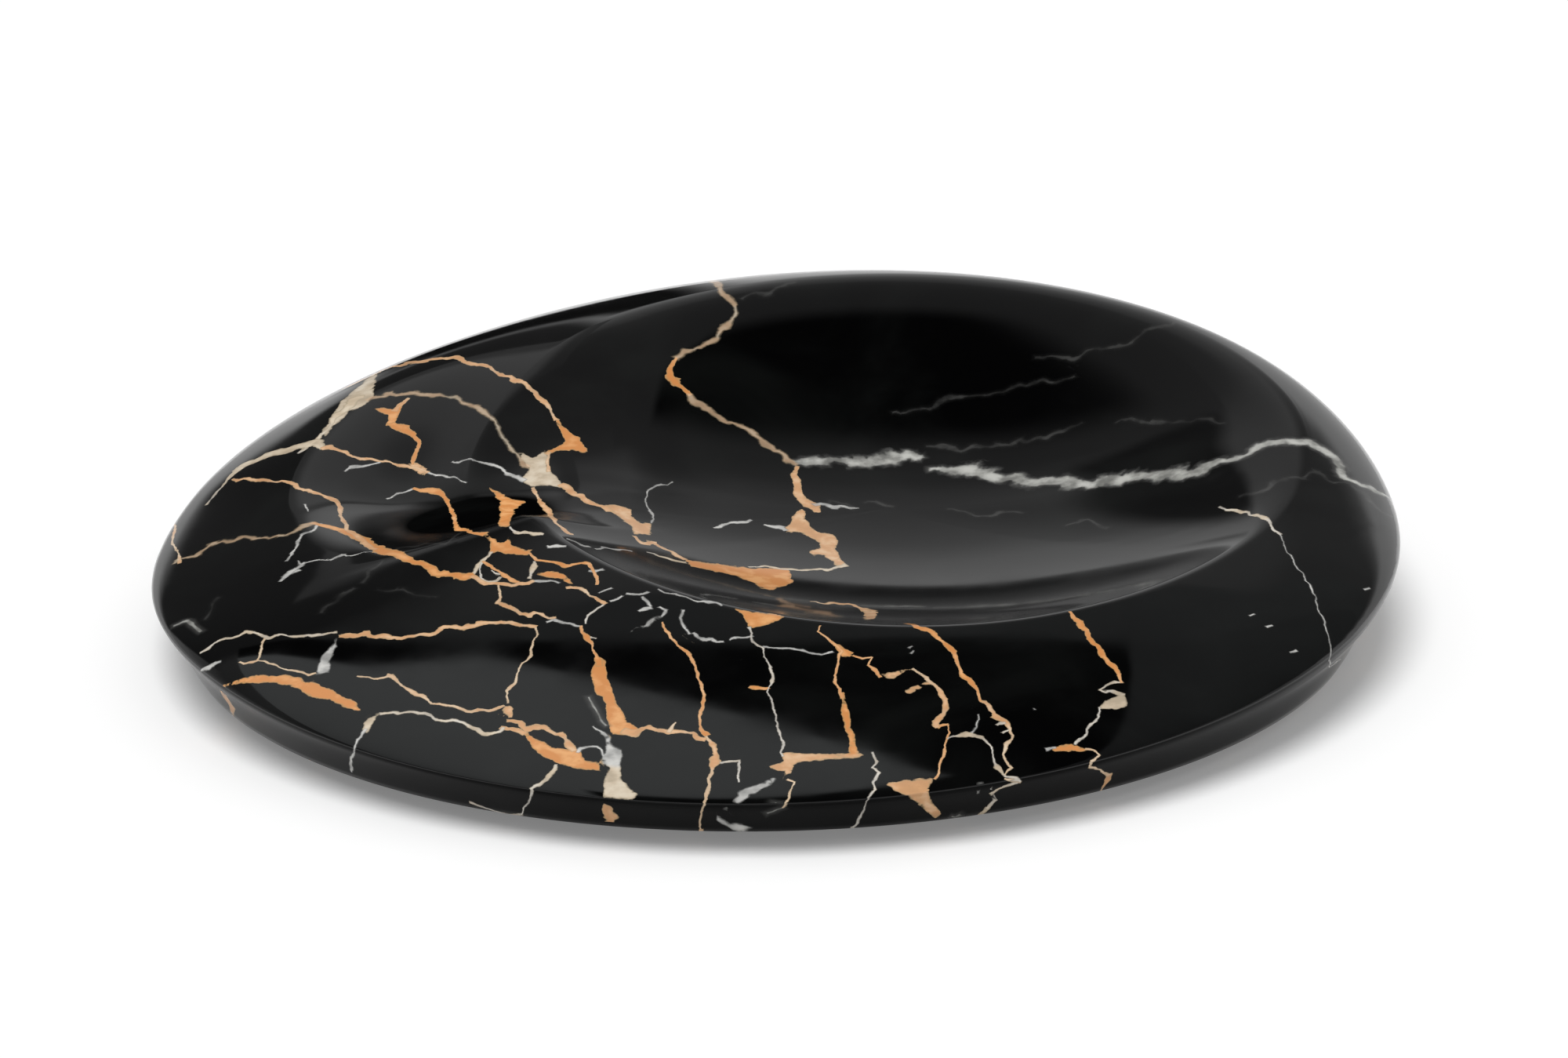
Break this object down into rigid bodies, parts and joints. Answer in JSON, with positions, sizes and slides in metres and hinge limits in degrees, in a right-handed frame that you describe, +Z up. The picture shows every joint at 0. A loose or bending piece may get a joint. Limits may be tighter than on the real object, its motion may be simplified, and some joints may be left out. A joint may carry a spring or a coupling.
{
  "type": "ashtray",
  "caption": "Round polished marble ashtray: sloped stone disc with an off-centre scooped bowl, shallow rest hollow on the left, slim rolled back rim and felt feet.",
  "frame": {"origin": "middle of the round outline, on the surface the ashtray stands on", "axes": "+Z up; -Y towards the thin front edge, +X to the right seen from the front"},
  "size_m": [0.1956, 0.1974, 0.0331],
  "materials": {
    "marble": "polished black marble with gold and white veins",
    "felt": "pressed black felt",
    "adhesive": "clear pressure-sensitive film"
  },
  "bodies": {
    "root": {"marble_body": "marble", "felt_foot_1": "felt", "felt_foot_2": "felt", "felt_foot_3": "felt", "felt_foot_4": "felt", "adhesive_disc_1": "adhesive", "adhesive_disc_2": "adhesive", "adhesive_disc_3": "adhesive", "adhesive_disc_4": "adhesive"}
  },
  "joints": []
}
